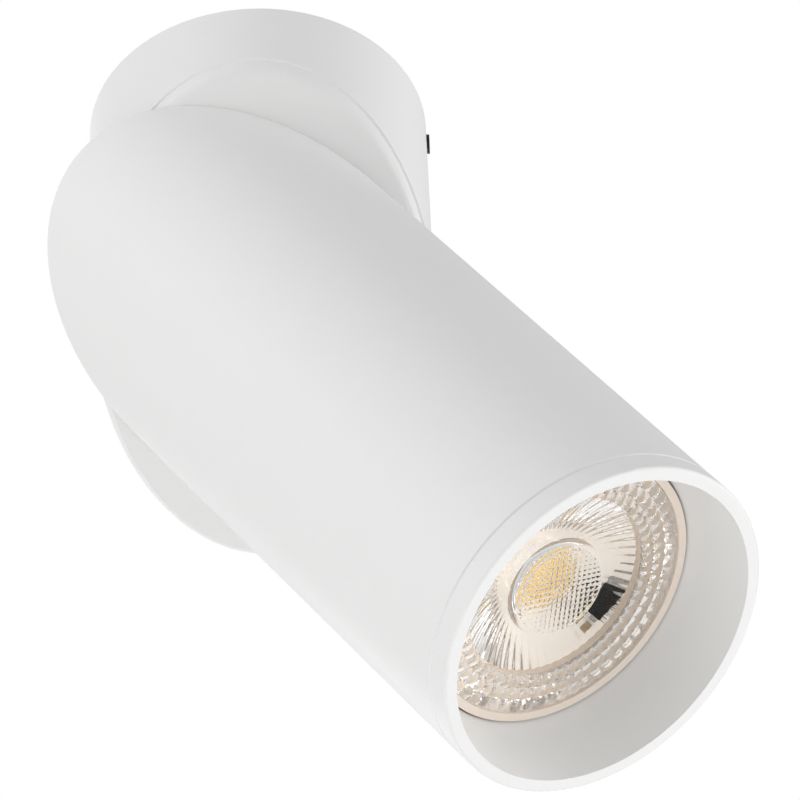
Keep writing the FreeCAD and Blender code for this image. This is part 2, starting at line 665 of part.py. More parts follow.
# Front ring: turned in one piece, a conical mouth with a neck that pushes into the tube.
def make_front_ring():
    neck_end = "tube_length - neck_length"
    groove_floor = "neck_radius - seal_section + seal_fit"
    groove_high = "tube_length - seal_set_back"
    groove_low = f"{groove_high} - seal_section - 2 * seal_fit"
    body = turned("front_ring", [
        ("lip_radius", "front"),
        ("tube_radius", "front"),
        ("tube_radius", "tube_length + seam_bevel"),
        ("tube_radius - seam_bevel", "tube_length"),
        ("neck_radius", "tube_length"),
        ("neck_radius", groove_high),
        (groove_floor, groove_high),
        (groove_floor, groove_low),
        ("neck_radius", groove_low),
        ("neck_radius", neck_end),
        ("mouth_radius", neck_end),
        ("mouth_radius", "front - cone_depth"),
    ], HEAD)
    doc.recompute()
    ring = body.Tip
    radius = value("tube_radius")
    front = value("front")
    names = [f"Edge{i}" for i, edge in enumerate(ring.Shape.Edges, 1)
             if edge.BoundBox.ZMin > front - NEAR and edge.BoundBox.XMax > radius - NEAR]
    lip = body.newObject("PartDesign::Fillet", "ring_lip")
    lip.Base = (ring, names)
    lip.setExpression("Radius", formula("lip_round"))
    body.Tip = lip
    return body


def make_ring_seal():
    middle = "neck_radius - seal_section / 2 + 2 * seal_fit"
    place = HEAD + " * " + at(z="tube_length - seal_set_back - seal_section / 2 - seal_fit")
    return bound("Part::Torus", "ring_seal", place, Radius1=middle, Radius2="seal_section / 2")


# Lampholder: a ceramic body with a slotted front, on a steel bridge across the tube's posts.
def keyholes(name, half_width, low, height):
    """Two slots opposite each other, from each locked pin round to where it comes free."""
    return [arc_slot(f"{name}_{i}", "pin_offset", half_width, "lamp_turn_angle", height,
                     at(z=low, angle=str(180 * i))) for i in range(2)]


def pin_spots(turn):
    """Places of the two pins after a turn of the lamp."""
    angles = [turn, f"{turn} + 180"]
    return [(f"pin_offset * cos({angle})", f"pin_offset * sin({angle})") for angle in angles]


def make_holder():
    cap_disc = turned("holder_cap_disc", [
        ("0", "holder_split"),
        ("holder_radius", "holder_split"),
        ("holder_radius", "holder_front - holder_edge"),
        ("holder_radius - holder_edge", "holder_front"),
        ("0", "holder_front"),
    ])
    through = "3 * holder_cap_thick"
    low = "holder_split - holder_cap_thick"
    slots = keyholes("cap_slot", "pin_shank_radius + pin_room", low, through)
    wide = [cylinder(f"cap_hole_{i}", "pin_head_radius + pin_room", through, at(*spot, low))
            for i, spot in enumerate(pin_spots("lamp_turn_angle"))]
    cap = put(cut("holder_cap", cap_disc, *slots, *wide), HEAD)
    body_disc = turned("holder_body_disc", [
        ("0", "holder_back"),
        ("holder_radius - holder_edge", "holder_back"),
        ("holder_radius", "holder_back + holder_edge"),
        ("holder_radius", "holder_split"),
        ("0", "holder_split"),
    ])
    tools = keyholes("body_cavity", "pin_head_radius + pin_room", "cavity_floor", "holder_height")
    stem_spots = pin_spots("lamp_turn_angle / 2")
    for i, spot in enumerate(stem_spots):
        place = at(*spot, "holder_back - overcut")
        tools.append(cylinder(f"stem_hole_{i}", "stem_radius + screw_fit", "2 * holder_height", place))
    for side in SIDES:
        place = at(f"{side}holder_screw_offset", "0", "holder_back - screw_fit")
        depth = "holder_screw_length + 2 * screw_fit"
        tools.append(cylinder(f"holder_thread{side}", "screw_radius + screw_fit", depth, place))
    body = put(cut("holder_body", body_disc, *tools), HEAD)
    blade_half = "pin_head_radius + pin_room - contact_inset"
    blades = keyholes("blade", blade_half, "cavity_floor", "contact_thick")
    stem_length = "cavity_floor - holder_back + stem_reach + contact_thick / 2"
    contacts = []
    for i, (blade, spot) in enumerate(zip(blades, stem_spots)):
        stem = cylinder(f"stem_{i}", "stem_radius", stem_length, at(*spot, "holder_back - stem_reach"))
        contacts.append(put(fuse(f"contact_{i}", blade, stem), HEAD))
    return [cap, body, group("holder_contacts", contacts)]


def make_bridge():
    half = "post_offset + bridge_end"
    strip_low = (f"-({half})", "-bridge_width / 2", "post_top")
    strip_high = (half, "bridge_width / 2", "holder_back")
    strip = block("bridge_strip", strip_low, strip_high)
    through = "3 * bridge_thick"
    low = "post_top - bridge_thick"
    holes = [cylinder("bridge_window_hole", "bridge_window", through, at(z=low))]
    bridge_screws = []
    holder_screws = []
    for side in SIDES:
        for name, offset in (("post", "post_offset"), ("holder", "holder_screw_offset")):
            place = at(f"{side}{offset}", "0", low)
            holes.append(cylinder(f"bridge_{name}_hole{side}", "screw_radius + screw_fit", through, place))
        down = HEAD + " * " + at(f"{side}post_offset", "0", "holder_back")
        bridge_screws.append(screw(f"bridge_screw{side}", down, "bridge_thick + bridge_screw_length"))
        up = HEAD + " * " + at(f"{side}holder_screw_offset", "0", "post_top", "1; 0; 0", "180")
        holder_screws.append(screw(f"holder_screw{side}", up, "bridge_thick + holder_screw_length"))
    bridge = put(cut("holder_bridge", strip, *holes), HEAD)
    return [bridge, group("bridge_screws", bridge_screws), group("holder_screws", holder_screws)]


# Lamp: a tapered shell with a lens, a circuit board with its light source, a cap and two pins.
def make_lamp():
    rim_inside = "lamp_radius - rim_wall"
    seat = "lens_face - lens_seat_depth"
    floor = "board_face - board_thick"
    pocket = "board_radius + board_fit"
    shell = turned("lamp_shell", [
        (rim_inside, "rim_front"),
        ("lamp_radius", "rim_front"),
        ("lamp_radius", "lens_face - rim_height"),
        ("lamp_radius - shoulder_inset", "lens_face - shoulder_depth"),
        ("shell_end_radius", "lens_face - shell_length"),
        ("0", "lens_face - shell_length"),
        ("0", floor),
        (pocket, floor),
        (pocket, "board_face"),
        (f"{rim_inside} - lens_shelf", seat),
        (rim_inside, seat),
    ], HEAD)
    cap = turned("lamp_cap", [
        ("0", "cap_underside"),
        ("lamp_cap_radius - lamp_cap_bevel", "cap_underside"),
        ("lamp_cap_radius", "cap_underside + lamp_cap_bevel"),
        ("lamp_cap_radius", "lens_face - shell_length"),
        ("0", "lens_face - shell_length"),
    ], HEAD)
    pin_corners = [
        ("0", "pin_end"),
        ("pin_head_radius", "pin_end"),
        ("pin_head_radius", "pin_end + pin_head_length"),
        ("pin_shank_radius", "pin_end + pin_head_length"),
        ("pin_shank_radius", "cap_underside"),
        ("0", "cap_underside"),
    ]
    pin_places = [HEAD + " * " + at(*spot) for spot in pin_spots("0")]
    pins = [turned(f"pin_{i}", pin_corners, place) for i, place in enumerate(pin_places)]
    board = turned("lamp_board", [
        ("0", floor),
        ("board_radius", floor),
        ("board_radius", "board_face"),
        ("led_radius", "board_face"),
        ("led_radius", "board_face + seat_height"),
        ("0", "board_face + seat_height"),
    ], HEAD)
    led = cylinder("lamp_led", "led_radius", "led_height", HEAD + " * " + at(z="board_face + seat_height"))
    chip_left = "chip_across - chip_long / 2"
    chip_place = HEAD + " * " + at(chip_left, "-chip_down - chip_wide / 2", "board_face")
    chips = [box("driver_chip", "chip_long", "chip_wide", "chip_height", chip_place)]
    for side in SIDES:
        corner = (f"{chip_left} - resistor_gap - resistor_long",
                  f"-chip_down - resistor_wide / 2 + ({side}resistor_pitch / 2)", "board_face")
        chips.append(box(f"resistor{side}", "resistor_long", "resistor_wide", "resistor_height",
                         HEAD + " * " + at(*corner)))
    return [shell, cap, group("lamp_pins", pins), board, led, group("lamp_chips", chips), make_lens()]


# Lens: a turned plate with a raised disc, three rings of facets on its outer band, and under it a
# fluted cone that ends in a well over the light source.
def make_lens():
    def deep(text):
        return f"lens_face - ({text})"

    plate = turned("lens_plate", [
        ("0", deep("-lens_disc_rise")),
        ("lens_disc_radius", deep("-lens_disc_rise")),
        ("lens_disc_radius + lens_disc_draft", deep("lens_trough_depth")),
        ("lens_trough_radius", deep("lens_trough_depth")),
        ("lens_trough_radius", deep("lens_band_drop")),
        ("lens_radius", deep("lens_band_drop")),
        ("lens_radius", deep("lens_seat_depth")),
        ("0", deep("lens_seat_depth")),
    ])
    well = turned("lens_well", [
        ("0", deep("lens_cone_depth + overcut")),
        ("lens_well_radius", deep("lens_cone_depth + overcut")),
        ("lens_well_radius", deep("lens_cone_depth - lens_well_depth")),
        ("0", deep("lens_cone_depth - lens_well_depth - lens_well_crown")),
    ])
    blank = fuse("lens_blank", plate, lens_facets(), lens_cone())
    return put(cut("lamp_lens", blank, well), HEAD)


def ring_of_points(radius, height, count, part_step=0):
    """Points evenly spaced round the axis, turned by a part of a step."""
    angles = [2 * math.pi * (step + part_step) / count for step in range(count)]
    return [Vector(radius * math.cos(angle), radius * math.sin(angle), height) for angle in angles]


def lens_facets():
    """Rings of four-sided pyramids, each ring half a step on from the last, on a sunk floor."""
    count = round(value("facet_count"))
    rings = round(value("facet_rings"))
    inner = value("lens_trough_radius + facet_inset")
    width = value("lens_radius - facet_inset") - inner
    valley = value("lens_face - lens_band_drop")
    floor = valley - value("lens_overlap")
    corners = []
    for ring in range(rings):
        low = ring_of_points(inner + width * ring / rings, valley, 2 * count)
        high = ring_of_points(inner + width * (ring + 1) / rings, valley, 2 * count)
        middle = inner + width * (ring + 1 / 2) / rings
        start = ring % 2
        peaks = ring_of_points(middle, valley + value("facet_height"), count, (start + 1) / 2)
        for i, peak in enumerate(peaks):
            a, b, c = ((2 * i + start + step) % (2 * count) for step in range(3))
            corners += [(low[a], peak, low[b]), (low[b], peak, low[c])]
            corners += [(high[a], high[b], peak), (high[b], high[c], peak)]
            corners += [(low[a], high[a], peak), (low[c], peak, high[c])]
    inside = ring_of_points(inner, valley, 2 * count)
    outside = ring_of_points(inner + width, valley, 2 * count)
    floor_inside = ring_of_points(inner, floor, 2 * count)
    floor_outside = ring_of_points(inner + width, floor, 2 * count)
    for row, beyond in ((floor_inside, inside), (outside, floor_outside), (floor_outside, floor_inside)):
        for i in range(2 * count):
            k = (i + 1) % (2 * count)
            corners.append((row[i], beyond[i], beyond[k], row[k]))
    shell = Part.makeShell([Part.Face(Part.makePolygon([*face, face[0]])) for face in corners])
    shell.sewShape()
    facets = doc.addObject("Part::Feature", "lens_facets")
    facets.Shape = Part.makeSolid(shell)
    return facets


def lens_cone():
    """Fluted cone that steepens outwards: a ruled loft between stars of the same shape."""
    count = round(value("flute_count"))
    small = value("lens_cone_radius")
    spread = value("lens_trough_radius") - small
    rise = value("lens_cone_depth - lens_seat_depth")
    valley_share = 1 - value("flute_depth / lens_trough_radius")
    sections = [(small + spread, rise + value("lens_overlap"))]
    for step in range(CONE_STEPS, -1, -1):
        share = step / CONE_STEPS
        sections.append((small + spread * share, rise * share ** CONE_BOW))
    stars = []
    for i, (radius, above) in enumerate(sections):
        height = value("lens_face - lens_cone_depth") + above
        ridges = ring_of_points(radius, height, count)
        valleys = ring_of_points(radius * valley_share, height, count, 1 / 2)
        points = [spot for pair in zip(ridges, valleys) for spot in pair]
        star = doc.addObject("Part::Feature", f"cone_section_{i}")
        star.Shape = Part.makePolygon([*points, points[0]])
        stars.append(star)
    loft = doc.addObject("Part::Loft", "lens_cone")
    loft.Sections = stars
    loft.Solid = True
    loft.Ruled = True
    return loft


# Ceiling bracket: a steel strip with a tab bent down at each end and a lug for the terminals.
def bend(name, width, place):
    """Quarter turn of the bracket's steel, from its own x to its own y."""
    outside = cylinder(name + "_outside", "bend_outside", width, angle="90")
    inside = cylinder(name + "_inside", "bend_inside", width)
    return put(cut(name, outside, inside), place)


def make_bracket():
    strip_end = "tab_outside - bend_outside"
    lug_end = "lug_offset - bend_outside"
    strip = block("bracket_strip", (f"-({strip_end})", "-bracket_width / 2", "-bracket_thick"),
                  (strip_end, "bracket_width / 2", "0"))
    pieces = [
        strip,
        block("lug_flat", ("-lug_width / 2", "0", "-bracket_thick"), ("lug_width / 2", lug_end, "0")),
        block("lug_leaf", ("-lug_width / 2", "lug_inside", "-lug_drop"),
              ("lug_width / 2", "lug_offset", "-bend_outside")),
        bend("lug_bend", "lug_width", at("-lug_width / 2", lug_end, "-bend_outside", "1; 1; 1", "120")),
    ]
    through = "3 * bracket_thick"
    low = "-2 * bracket_thick"
    straight = "slot_length - 2 * slot_radius"
    holes = [cylinder("cable_hole", "grommet_radius + grommet_fit", through, at(z=low))]
    tab_sides = (("-", "-tab_outside", "-tab_inside", "90"), ("", "tab_inside", "tab_outside", "0"))
    for side, near, far, quarter in tab_sides:
        leaf_low = (near, "-tab_width / 2", "-tab_drop")
        pieces.append(block(f"tab_leaf{side}", leaf_low, (far, "tab_width / 2", "-bend_outside")))
        turn = at(f"{side}({strip_end})", "tab_width / 2", "-bend_outside", "1; 0; 0", "90")
        pieces.append(bend(f"tab_bend{side}", "tab_width", turn + " * " + at(angle=quarter)))
        centre = f"{side}slot_spacing / 2"
        slot_low = (f"{centre} - ({straight}) / 2", "-slot_radius", low)
        slot_high = (f"{centre} + ({straight}) / 2", "slot_radius", "bracket_thick")
        holes.append(block(f"slot_middle{side}", slot_low, slot_high))
        for end in ("-", "+"):
            place = at(f"{centre} {end} ({straight}) / 2", "0", low)
            holes.append(cylinder(f"slot_end{side}{end}", "slot_radius", through, place))
    tab_place = at("-tab_outside - overcut", "0", "-grub_drop", "0; 1; 0", "90")
    lug_place = at("pole_pitch / 2", "lug_inside - bracket_thick", "-block_drop - block_height / 2",
                   "1; 0; 0", "-90")
    holes.append(cylinder("tab_threads", "grub_radius + grub_thread_fit",
                          "2 * (tab_outside + overcut)", tab_place))
    holes.append(cylinder("lug_thread", "screw_radius + screw_fit", through, lug_place))
    return cut("ceiling_bracket", fuse("bracket_blank", *pieces), *holes)


def make_grommet():
    return turned("cable_grommet", [
        ("grommet_bore", "0"),
        ("grommet_radius", "0"),
        ("grommet_radius", "-bracket_thick"),
        ("grommet_flange", "-bracket_thick"),
        ("grommet_flange", "-bracket_thick - grommet_flange_thick"),
        ("grommet_bore", "-bracket_thick - grommet_flange_thick"),
    ])


def make_grub_screws():
    screws = []
    for i, angle in enumerate(("90", "-90")):
        stud = cylinder(f"grub_stud_{i}", "grub_radius", "grub_length")
        socket = hexagon(f"grub_socket_{i}", "grub_socket_flats", "2 * grub_socket_depth",
                         at(z="grub_length - grub_socket_depth"))
        turn = at(z="-grub_drop", axis="0; 1; 0", angle=angle)
        screws.append(put(cut(f"grub_{i}", stud, socket),
                          turn + " * " + at(z="tube_radius + grub_proud - grub_length")))
    return group("grub_screws", screws)


# Terminal block: three poles, each a brass sleeve with two clamp screws, in one moulding.
POLES = ("-pole_pitch", "0", "pole_pitch")
CLAMP_ROWS = ("block_height / 4", "3 * block_height / 4")
INTO_BLOCK = ("1; 0; 0", "-90")


def make_terminals():
    half = "1.5 * pole_pitch"
    blank = block("terminal_blank", (f"-{half}", "block_face", "-block_bottom"),
                  (half, "lug_inside", "-block_drop"))
    clamp_hole = "clamp_screw_radius + clamp_fit"
    clamp_depth = "wire_line - block_face"
    tools = []
    sleeves = []
    screws = []
    for i, pole in enumerate(POLES):
        tools.append(cylinder(f"wire_hole_{i}", "clamp_radius + clamp_fit", "block_height + 2 * overcut",
                              at(pole, "wire_line", "-block_bottom - overcut")))
        sleeve = cylinder(f"sleeve_{i}", "clamp_radius", "block_height - 2 * clamp_inset",
                          at(pole, "wire_line", "-block_bottom + clamp_inset"))
        bores = [cylinder(f"sleeve_bore_{i}", "clamp_bore", "block_height",
                          at(pole, "wire_line", "-block_bottom"))]
        for k, down in enumerate(CLAMP_ROWS):
            height = f"-block_drop - {down}"
            spot = at(pole, "block_face", height, *INTO_BLOCK)
            tools.append(cylinder(f"clamp_hole_{i}{k}", clamp_hole, clamp_depth, spot))
            bores.append(cylinder(f"clamp_tap_{i}{k}", clamp_hole, clamp_depth, spot))
            screws.append(cylinder(f"clamp_screw_{i}{k}", "clamp_screw_radius",
                                   f"{clamp_depth} - clamp_screw_sink - clamp_bore",
                                   at(pole, "block_face + clamp_screw_sink", height, *INTO_BLOCK)))
        sleeves.append(cut(f"terminal_sleeve_{i}", sleeve, *bores))
    for side in SIDES:
        middle = f"{side}pole_pitch / 2"
        low = (f"{middle} - block_groove / 2", "block_face - overcut", "-block_bottom - overcut")
        high = (f"{middle} + block_groove / 2", "block_face + block_groove_depth", "-block_drop + overcut")
        tools.append(block(f"block_groove{side}", low, high))
    middle_height = "-block_drop - block_height / 2"
    seat = ("pole_pitch / 2", "block_face + block_groove_depth", middle_height)
    tools.append(cylinder("block_screw_hole", "screw_radius + screw_fit", "block_thick",
                          at(*seat, *INTO_BLOCK)))
    tools.append(cylinder("block_screw_sink", "screw_head_radius + screw_fit",
                          "block_groove_depth + overcut",
                          at("pole_pitch / 2", "block_face - overcut", middle_height, *INTO_BLOCK)))
    moulding = cut("terminal_block", blank, *tools)
    fixing = screw("terminal_block_screw", at(*seat, "1; 0; 0", "90"),
                   "lug_offset - block_face - block_groove_depth")
    return [moulding, group("terminal_sleeves", sleeves), group("terminal_screws", screws), fixing]


# Earth: a ring tag under a screw on the base's boss, with its lead from the middle pole.
def make_earth():
    face = at("0", "earth_face", "-earth_drop", "1; 0; 0", "90")
    eye = cylinder("tag_eye", "tag_radius", "tag_thick")
    tongue = block("tag_tongue", ("-tag_barrel_radius", "0", "0"),
                   ("tag_barrel_radius", "tag_reach", "tag_thick"))
    barrel = cylinder("tag_barrel", "tag_barrel_radius", "tag_barrel_length",
                      at("0", "tag_reach", "tag_barrel_radius", "1; 0; 0", "-90"))
    hole = cylinder("tag_hole", "screw_radius + screw_fit", "3 * tag_thick", at(z="-tag_thick"))
    tag = put(cut("earth_tag", fuse("tag_blank", eye, tongue, barrel), hole), face)
    earth_screw = screw("earth_screw", face + " * " + at(z="tag_thick"), "tag_thick + earth_screw_length")
    return [tag, earth_screw]


def point(x, y, z):
    """A point from three formulas."""
    return Vector(value(x), value(y), value(z))


def make_leads():
    """Two leads from the terminals to the lampholder, split where they twist, and the earth lead."""
    pieces = []
    pole_foot = "-block_bottom - lead_straight"
    pole_end = "-block_bottom + lead_insertion"
    pivot = point("0", "0", "-pivot_drop")
    into_tube = point("0", "-sin(cut_angle)", "-cos(cut_angle)")
    for name, side in zip(("live_lead", "neutral_lead"), SIDES):
        start = pivot + point(f"{side}lead_apart", "0", "0")
        pole = f"{side}pole_pitch"
        pieces.append(lead(name, [
            start,
            start + into_tube * value("nipple_top - sleeve_tail - lead_straight"),
            point(pole, "wire_line", pole_foot),
            point(pole, "wire_line", pole_end),
        ], HERE))
    tag_line = "earth_face - tag_barrel_radius"
    tag_end = "-earth_drop + tag_reach + tag_barrel_length"
    pieces.append(lead("earth_lead", [
        point("0", "wire_line", pole_end),
        point("0", "wire_line", "-block_bottom - earth_straight"),
        point("0", tag_line, f"{tag_end} + earth_straight"),
        point("0", tag_line, tag_end),
    ], HERE))
    along = point("0", "sin(cut_angle)", "cos(cut_angle)")
    names = ("lamp_live_lead", "lamp_neutral_lead")
    for name, spot, side in zip(names, pin_spots("lamp_turn_angle / 2"), reversed(SIDES)):
        stem = point(*spot, "holder_back - stem_reach")
        start = point(f"{side}lead_apart", "0", "0")
        mouth = start + along * value("nipple_bottom + sleeve_tail + sleeve_straight")
        pieces.append(lead(name, [
            stem,
            stem - point("0", "0", "lead_straight"),
            mouth + point("0", "-lead_shift", "lead_rise"),
            mouth,
            start,
        ], HEAD))
    return pieces


def build():
    pieces = [make_base_housing(), make_swivel_plate(), make_plate_screws()]
    pieces += make_pivot_stack()
    pieces += make_sleeves()
    pieces += [make_lamp_tube(), make_front_ring(), make_ring_seal()]
    pieces += make_holder()
    pieces += make_bridge()
    pieces += make_lamp()
    pieces += [make_bracket(), make_grommet(), make_grub_screws()]
    pieces += make_terminals()
    pieces += make_earth()
    pieces += make_leads()
    return pieces


def check_and_write(pieces):
    """Stop on any failed object or bad solid, then write one file for each piece."""
    doc.recompute()
    for thing in doc.Objects:
        if "Invalid" in thing.State or "Error" in thing.State:
            raise RuntimeError(f"{thing.Name} failed: {thing.State}")
    for piece in pieces:
        shape = piece.Shape
        if shape.isNull() or not shape.isValid() or not shape.Solids:
            raise RuntimeError(piece.Name + " has no valid solid")
    os.makedirs("parts", exist_ok=True)
    for piece in pieces:
        piece.Label = piece.Name
        piece.Shape.exportStep(f"parts/{piece.Label}.step")
        print(piece.Label, len(piece.Shape.Solids), round(piece.Shape.Volume, 1))


check_and_write(build())
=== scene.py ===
# %% [markdown]
# # A white ceiling spotlight
# The light is a short cylinder on the ceiling and a lamp tube below it. Both are cut at the same
# slant and turn on each other there. The solids come ready-made from the CAD model, each in its
# place, so this lesson is about finishes, the moulded lens of the lamp, light and the camera.

import json
import math

import bpy
import numpy as np
from mathutils import Matrix


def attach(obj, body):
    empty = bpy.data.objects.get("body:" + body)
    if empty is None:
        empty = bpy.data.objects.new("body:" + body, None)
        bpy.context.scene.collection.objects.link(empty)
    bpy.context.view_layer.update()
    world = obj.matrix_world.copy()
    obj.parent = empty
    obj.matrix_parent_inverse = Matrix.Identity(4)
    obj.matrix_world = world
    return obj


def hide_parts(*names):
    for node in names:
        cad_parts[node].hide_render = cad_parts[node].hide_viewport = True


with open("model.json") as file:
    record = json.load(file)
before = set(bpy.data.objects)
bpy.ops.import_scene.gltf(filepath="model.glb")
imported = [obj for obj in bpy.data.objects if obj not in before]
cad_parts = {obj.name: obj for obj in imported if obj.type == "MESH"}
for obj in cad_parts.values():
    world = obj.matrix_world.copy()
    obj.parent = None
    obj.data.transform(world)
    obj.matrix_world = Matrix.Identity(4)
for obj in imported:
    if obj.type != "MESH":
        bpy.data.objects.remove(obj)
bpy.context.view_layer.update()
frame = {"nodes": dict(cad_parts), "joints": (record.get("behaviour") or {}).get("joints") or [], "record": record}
record = frame["record"]
joints = {joint["name"]: joint for joint in frame["joints"]}
MM = 0.001

# %% [markdown]
# The lamp leans with its tube, so it is easiest to shape its pieces upright, in millimetres from
# the lens face, and to lean the finished points. Three directions do that. The lamp's own axis is
# the axis of the joint that twists it, the line through its two pins is across, and the third is
# square to both. The driver chip lies on the negative side of the third, which settles the signs.
# The middle of the lens is a raised disc, so its face lies that much below its highest point.

# %% The lamp's own directions
def node_points(name):
    """All corners of a CAD node as an array, in metres."""
    vertices = frame["nodes"][name].data.vertices
    flat = np.empty(3 * len(vertices))
    vertices.foreach_get("co", flat)
    return flat.reshape(-1, 3)


twist = joints["lamp_twist"]
lamp_axis = np.array(twist["axis"], float)
lamp_axis /= np.linalg.norm(lamp_axis)
axis_point = np.array(twist["pos_m"], float)


def beside_axis(points):
    """The part of each point's offset from the lamp's axis that is square to it."""
    offset = points - axis_point
    return offset - np.outer(offset @ lamp_axis, lamp_axis)


pin_offsets = beside_axis(node_points("lamp_pins"))
widest = pin_offsets[np.argmax(np.linalg.norm(pin_offsets, axis=1))]
near_side = pin_offsets[pin_offsets @ widest > 0]
lamp_across = near_side.mean(axis=0)
lamp_across /= np.linalg.norm(lamp_across)
lamp_upward = np.cross(lamp_axis, lamp_across)
if (beside_axis(node_points("lamp_chips")) @ lamp_upward).mean() > 0:
    lamp_across, lamp_upward = -lamp_across, -lamp_upward
disc_rise = 1.8
lens_top = ((node_points("lamp_lens") - axis_point) @ lamp_axis).max()
lens_face = axis_point + lamp_axis * (lens_top - disc_rise * MM)


def lean(x, y, depth):
    """Millimetres across, upward and below the lens face become metres in the light's frame."""
    columns = [np.asarray(v, float)[..., None] * MM for v in (x, y, depth)]
    return lens_face + columns[0] * lamp_across + columns[1] * lamp_upward - columns[2] * lamp_axis


print("lamp axis", lamp_axis.round(4), "across", lamp_across.round(4))
print("lens face", lens_face.round(5))

# %% [markdown]
# A finish is a small network of shader nodes. Grain, such as the orange peel of powder coat, the
# skin of moulded plastic or the tarnish of brass, is the same network each time with other values,
# so it is one node group. It puts out a colour, a roughness and a height, and each material feeds
# them to its own shader.

# %% Grain that every finish shares
patch_width = 8
noise_middle = 0.5


def add_node(tree, kind, **settings):
    """A node with its settings; one that isn't a property of the node is an input's value."""
    node = tree.nodes.new(kind)
    for key, value in settings.items():
        if hasattr(node, key):
            setattr(node, key, value)
        else:
            node.inputs[key.replace("_", " ")].default_value = value
    return node


def make_grain_group():
    """Two noises on Object coordinates. The fine one is the height, and nudges the roughness.
    The coarse one, in wider patches, makes the colour a little lighter and darker."""
    tree = bpy.data.node_groups.new("Grain", "ShaderNodeTree")
    link = tree.links.new
    number, colour = "NodeSocketFloat", "NodeSocketColor"
    for name, kind in (("Colour", colour), ("Scale", number), ("Shade", number),
                       ("Roughness", number), ("Polish", number)):
        tree.interface.new_socket(name, in_out="INPUT", socket_type=kind)
    for name, kind in (("Colour", colour), ("Roughness", number), ("Height", number)):
        tree.interface.new_socket(name, in_out="OUTPUT", socket_type=kind)
    given = add_node(tree, "NodeGroupInput")
    result = add_node(tree, "NodeGroupOutput")
    place = add_node(tree, "ShaderNodeTexCoord")
    fine = add_node(tree, "ShaderNodeTexNoise", Detail=3.0)
    coarse = add_node(tree, "ShaderNodeTexNoise", Detail=4.0)
    coarse_scale = add_node(tree, "ShaderNodeMath", operation="DIVIDE")
    coarse_scale.inputs[1].default_value = patch_width
    for noise in (fine, coarse):
        link(place.outputs["Object"], noise.inputs["Vector"])
    link(given.outputs["Scale"], fine.inputs["Scale"])
    link(given.outputs["Scale"], coarse_scale.inputs[0])
    link(coarse_scale.outputs[0], coarse.inputs["Scale"])

    def sway(noise, amount):
        """The noise less its middle value, times a given amount, plus what the last input gets."""
        offset = add_node(tree, "ShaderNodeMath", operation="SUBTRACT")
        offset.inputs[1].default_value = noise_middle
        swung = add_node(tree, "ShaderNodeMath", operation="MULTIPLY_ADD")
        link(noise.outputs["Fac"], offset.inputs[0])
        link(offset.outputs[0], swung.inputs[0])
        link(given.outputs[amount], swung.inputs[1])
        return swung

    gain = sway(coarse, "Shade")
    gain.inputs[2].default_value = 1.0
    shaded = add_node(tree, "ShaderNodeVectorMath", operation="SCALE")
    link(given.outputs["Colour"], shaded.inputs[0])
    link(gain.outputs[0], shaded.inputs["Scale"])
    rough = sway(fine, "Polish")
    link(given.outputs["Roughness"], rough.inputs[2])
    link(shaded.outputs[0], result.inputs["Colour"])
    link(rough.outputs[0], result.inputs["Roughness"])
    link(fine.outputs["Fac"], result.inputs["Height"])
    return tree


grain_group = make_grain_group()
print("grain group with", len(grain_group.nodes), "nodes")

# %% [markdown]
# Each finish is one call: its colour, how rough it is, how coarse and how deep its grain is, and
# the constants that go straight on the shader. Grain sizes are real ones. The orange peel of fine
# powder coat is about half a millimetre from bump to bump and a few micrometres deep.

# %% White powder coat
MICROMETRE = 1e-6


def finish(name, colour, roughness, grain_mm, depth_um, shade=0.06, polish=0.15, **constants):
    """A Principled material whose colour, roughness and bump come from the grain group."""
    material = bpy.data.materials.new(name)
    material.use_nodes = True
    tree = material.node_tree
    shader = tree.nodes["Principled BSDF"]
    for key, value in constants.items():
        shader.inputs[key.replace("_", " ")].default_value = value
    grain = add_node(tree, "ShaderNodeGroup", node_tree=grain_group)
    grain.inputs["Colour"].default_value = (*colour, 1.0)
    grain.inputs["Scale"].default_value = 1 / (grain_mm * MM)
    grain.inputs["Shade"].default_value = shade
    grain.inputs["Roughness"].default_value = roughness
    grain.inputs["Polish"].default_value = polish
    bump = add_node(tree, "ShaderNodeBump", Strength=1.0, Distance=depth_um * MICROMETRE)
    tree.links.new(grain.outputs["Colour"], shader.inputs["Base Color"])
    tree.links.new(grain.outputs["Roughness"], shader.inputs["Roughness"])
    tree.links.new(grain.outputs["Height"], bump.inputs["Height"])
    tree.links.new(bump.outputs["Normal"], shader.inputs["Normal"])
    return material


white_paint = finish("white powder coat", (0.83, 0.83, 0.828), 0.42, 0.55, 5.0, shade=0.02)
print(white_paint.name, "with", len(white_paint.node_tree.nodes), "nodes")

# %% [markdown]
# The castings are white, and the pieces inside have the finishes that such pieces mostly have: zinc
# plate on screws and sheet, brass in the terminals, steatite in the lampholder. The record names a
# slot for every node, so one loop hands the finishes out. The board and the LED below the lens get
# a faint glow. It isn't lamplight: it stands for the daylight that a real lens gathers on them,
# which a renderer hardly ever finds its way through.

